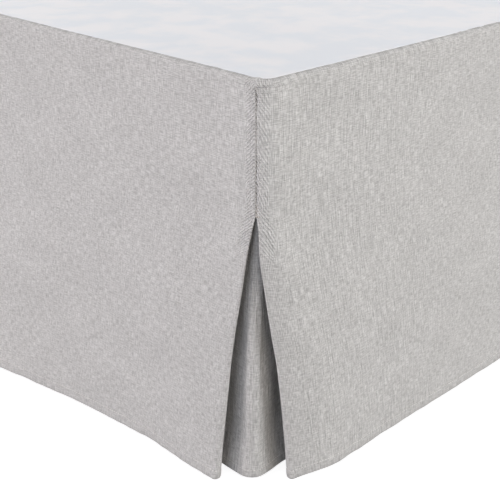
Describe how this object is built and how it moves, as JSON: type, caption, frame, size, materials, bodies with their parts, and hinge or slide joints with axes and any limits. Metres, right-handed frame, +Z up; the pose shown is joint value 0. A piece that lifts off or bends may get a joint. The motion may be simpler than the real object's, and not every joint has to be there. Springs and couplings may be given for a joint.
{
  "type": "bed skirt on a bed base",
  "caption": "Tailored bed skirt with a white deck and grey drop panels that meet in stitched, splayed corner pleats, on a plain legged bed base.",
  "frame": {"origin": "on the floor, under the middle of the whole plan box", "axes": "+Z up, +Y towards the head end of the bed, the foot panel at -Y, X across the bed"},
  "size_m": [1.5678, 2.0732, 0.387],
  "materials": {
    "skirt_cloth": "slubbed linen-look plain weave in light grey, matte, with pressed folds and a narrow stitched hem",
    "deck_cloth": "smooth white sheeting, matte, softly creased",
    "base_cover": "plain off-white woven cover with corded edges",
    "leg_wood": "satin-lacquered beech, turned"
  },
  "bodies": {
    "root": {"foot_panel": "skirt_cloth", "side_panel_right": "skirt_cloth", "side_panel_left": "skirt_cloth", "pleat_underlay_right": "skirt_cloth", "pleat_underlay_left": "skirt_cloth", "deck": "deck_cloth", "bed_base": "base_cover", "leg_1": "leg_wood", "leg_2": "leg_wood", "leg_3": "leg_wood", "leg_4": "leg_wood", "leg_5": "leg_wood", "leg_6": "leg_wood"}
  },
  "joints": []
}
